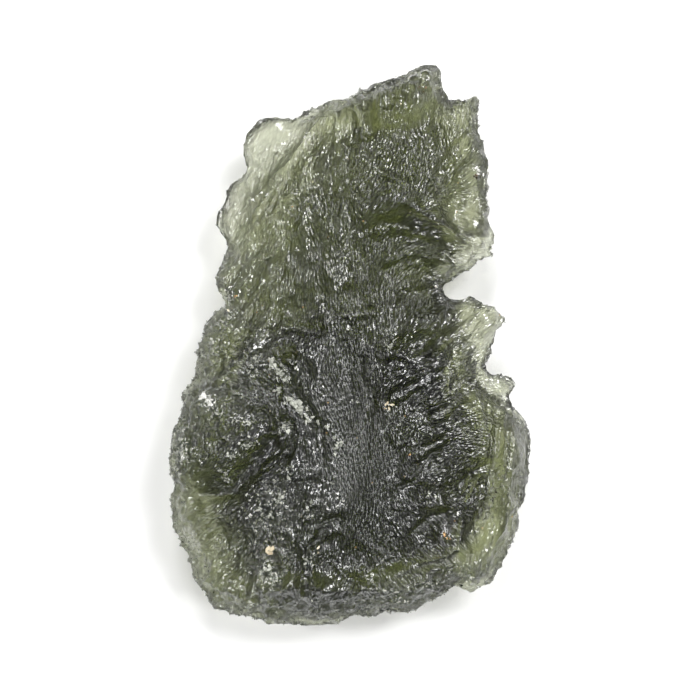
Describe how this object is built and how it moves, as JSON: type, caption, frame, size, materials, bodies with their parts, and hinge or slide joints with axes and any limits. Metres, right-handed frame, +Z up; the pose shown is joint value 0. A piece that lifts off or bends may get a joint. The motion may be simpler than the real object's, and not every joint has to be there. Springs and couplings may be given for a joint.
{
  "type": "moldavite stone",
  "caption": "Flat, ragged piece of olive-green natural glass with a deeply etched surface and thin clear edges, lying on its worn underside.",
  "frame": {"origin": "middle of the stone's outline, on the plane it rests on", "axes": "+X across the stone, +Y along it towards the narrow tip, +Z up out of the etched upper side"},
  "size_m": [0.0258, 0.0398, 0.0085],
  "materials": {
    "moldavite_glass": "natural olive-green glass, etched and frosted, clear where it is thin"
  },
  "bodies": {
    "root": {"moldavite": "moldavite_glass"}
  },
  "joints": []
}
